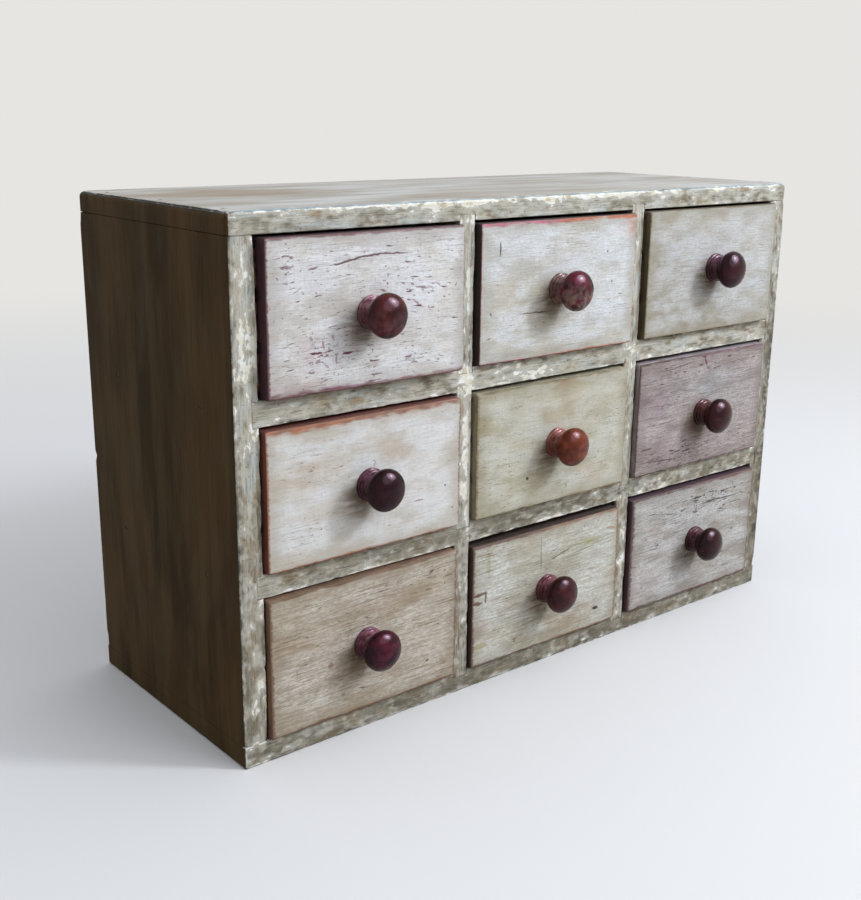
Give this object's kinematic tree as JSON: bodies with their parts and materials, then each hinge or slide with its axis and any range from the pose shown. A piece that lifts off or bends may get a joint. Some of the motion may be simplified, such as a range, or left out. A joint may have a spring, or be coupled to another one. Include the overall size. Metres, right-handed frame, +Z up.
{
  "type": "chest of drawers",
  "caption": "Low painted wooden chest of small drawers in an open grid, each drawer dovetailed, with a turned knob at the middle of its front.",
  "frame": {"origin": "middle of the carcass's underside, on the surface it stands on", "axes": "+X along the width to the viewer's right as seen from the front, +Y from the front towards the back boards, +Z up"},
  "size_m": [0.64, 0.281, 0.426],
  "materials": {
    "carcass_paint": "old flaking olive-grey paint over pine, worn at the arrises",
    "side_paint": "old dark brown-olive paint over pine, worn at the arrises",
    "top_paint": "old pale cream-grey paint over pine",
    "bare_pine": "bare pine, aged and dusty",
    "iron_nail": "rusted cut iron nail",
    "front_top_left_paint": "dry-brushed pale paint over an old dark coat",
    "front_top_centre_paint": "dry-brushed pale paint over an old dark coat",
    "front_top_right_paint": "dry-brushed pale paint over an old dark coat",
    "front_middle_left_paint": "dry-brushed pale paint over an old dark coat",
    "front_middle_centre_paint": "dry-brushed pale paint over an old dark coat",
    "front_middle_right_paint": "dry-brushed pale paint over an old dark coat",
    "front_bottom_left_paint": "dry-brushed pale paint over an old dark coat",
    "front_bottom_centre_paint": "dry-brushed pale paint over an old dark coat",
    "front_bottom_right_paint": "dry-brushed pale paint over an old dark coat",
    "knob_top_left_lacquer": "turned hardwood, stained and lacquered",
    "knob_top_centre_lacquer": "turned hardwood, stained and lacquered",
    "knob_top_right_lacquer": "turned hardwood, stained and lacquered",
    "knob_middle_left_lacquer": "turned hardwood, stained and lacquered",
    "knob_middle_centre_lacquer": "turned hardwood, stained and lacquered",
    "knob_middle_right_lacquer": "turned hardwood, stained and lacquered",
    "knob_bottom_left_lacquer": "turned hardwood, stained and lacquered",
    "knob_bottom_centre_lacquer": "turned hardwood, stained and lacquered",
    "knob_bottom_right_lacquer": "turned hardwood, stained and lacquered"
  },
  "bodies": {
    "carcass": {"back_boards": "bare_pine", "back_nails": "iron_nail", "bottom_board": "carcass_paint", "bottom_left_divider": "carcass_paint", "bottom_right_divider": "carcass_paint", "carcass_nails": "iron_nail", "left_side": "side_paint", "lower_shelf": "carcass_paint", "middle_left_divider": "carcass_paint", "middle_right_divider": "carcass_paint", "right_side": "side_paint", "top_board": "top_paint", "top_left_divider": "carcass_paint", "top_right_divider": "carcass_paint", "upper_shelf": "carcass_paint"},
    "top_left_drawer": {"drawer_top_left_back": "bare_pine", "drawer_top_left_bottom": "bare_pine", "drawer_top_left_front": "front_top_left_paint", "drawer_top_left_knob": "knob_top_left_lacquer", "drawer_top_left_sides": "bare_pine"},
    "top_centre_drawer": {"drawer_top_centre_back": "bare_pine", "drawer_top_centre_bottom": "bare_pine", "drawer_top_centre_front": "front_top_centre_paint", "drawer_top_centre_knob": "knob_top_centre_lacquer", "drawer_top_centre_sides": "bare_pine"},
    "top_right_drawer": {"drawer_top_right_back": "bare_pine", "drawer_top_right_bottom": "bare_pine", "drawer_top_right_front": "front_top_right_paint", "drawer_top_right_knob": "knob_top_right_lacquer", "drawer_top_right_sides": "bare_pine"},
    "middle_left_drawer": {"drawer_middle_left_back": "bare_pine", "drawer_middle_left_bottom": "bare_pine", "drawer_middle_left_front": "front_middle_left_paint", "drawer_middle_left_knob": "knob_middle_left_lacquer", "drawer_middle_left_sides": "bare_pine"},
    "middle_centre_drawer": {"drawer_middle_centre_back": "bare_pine", "drawer_middle_centre_bottom": "bare_pine", "drawer_middle_centre_front": "front_middle_centre_paint", "drawer_middle_centre_knob": "knob_middle_centre_lacquer", "drawer_middle_centre_sides": "bare_pine"},
    "middle_right_drawer": {"drawer_middle_right_back": "bare_pine", "drawer_middle_right_bottom": "bare_pine", "drawer_middle_right_front": "front_middle_right_paint", "drawer_middle_right_knob": "knob_middle_right_lacquer", "drawer_middle_right_sides": "bare_pine"},
    "bottom_left_drawer": {"drawer_bottom_left_back": "bare_pine", "drawer_bottom_left_bottom": "bare_pine", "drawer_bottom_left_front": "front_bottom_left_paint", "drawer_bottom_left_knob": "knob_bottom_left_lacquer", "drawer_bottom_left_sides": "bare_pine"},
    "bottom_centre_drawer": {"drawer_bottom_centre_back": "bare_pine", "drawer_bottom_centre_bottom": "bare_pine", "drawer_bottom_centre_front": "front_bottom_centre_paint", "drawer_bottom_centre_knob": "knob_bottom_centre_lacquer", "drawer_bottom_centre_sides": "bare_pine"},
    "bottom_right_drawer": {"drawer_bottom_right_back": "bare_pine", "drawer_bottom_right_bottom": "bare_pine", "drawer_bottom_right_front": "front_bottom_right_paint", "drawer_bottom_right_knob": "knob_bottom_right_lacquer", "drawer_bottom_right_sides": "bare_pine"}
  },
  "joints": [
    {"name": "top_left_drawer_slide", "type": "slide", "parent": "carcass", "child": "top_left_drawer", "axis": [0, -1, 0], "range_m": [-0.009, 0.181]},
    {"name": "top_centre_drawer_slide", "type": "slide", "parent": "carcass", "child": "top_centre_drawer", "axis": [0, -1, 0], "range_m": [-0.0067, 0.1833]},
    {"name": "top_right_drawer_slide", "type": "slide", "parent": "carcass", "child": "top_right_drawer", "axis": [0, -1, 0], "range_m": [-0.0065, 0.1835]},
    {"name": "middle_left_drawer_slide", "type": "slide", "parent": "carcass", "child": "middle_left_drawer", "axis": [0, -1, 0], "range_m": [-0.0055, 0.1845]},
    {"name": "middle_centre_drawer_slide", "type": "slide", "parent": "carcass", "child": "middle_centre_drawer", "axis": [0, -1, 0], "range_m": [-0.0055, 0.1845]},
    {"name": "middle_right_drawer_slide", "type": "slide", "parent": "carcass", "child": "middle_right_drawer", "axis": [0, -1, 0], "range_m": [-0.0045, 0.1855]},
    {"name": "bottom_left_drawer_slide", "type": "slide", "parent": "carcass", "child": "bottom_left_drawer", "axis": [0, -1, 0], "range_m": [-0.004, 0.186]},
    {"name": "bottom_centre_drawer_slide", "type": "slide", "parent": "carcass", "child": "bottom_centre_drawer", "axis": [0, -1, 0], "range_m": [-0.0043, 0.1857]},
    {"name": "bottom_right_drawer_slide", "type": "slide", "parent": "carcass", "child": "bottom_right_drawer", "axis": [0, -1, 0], "range_m": [-0.0048, 0.1852]}
  ]
}
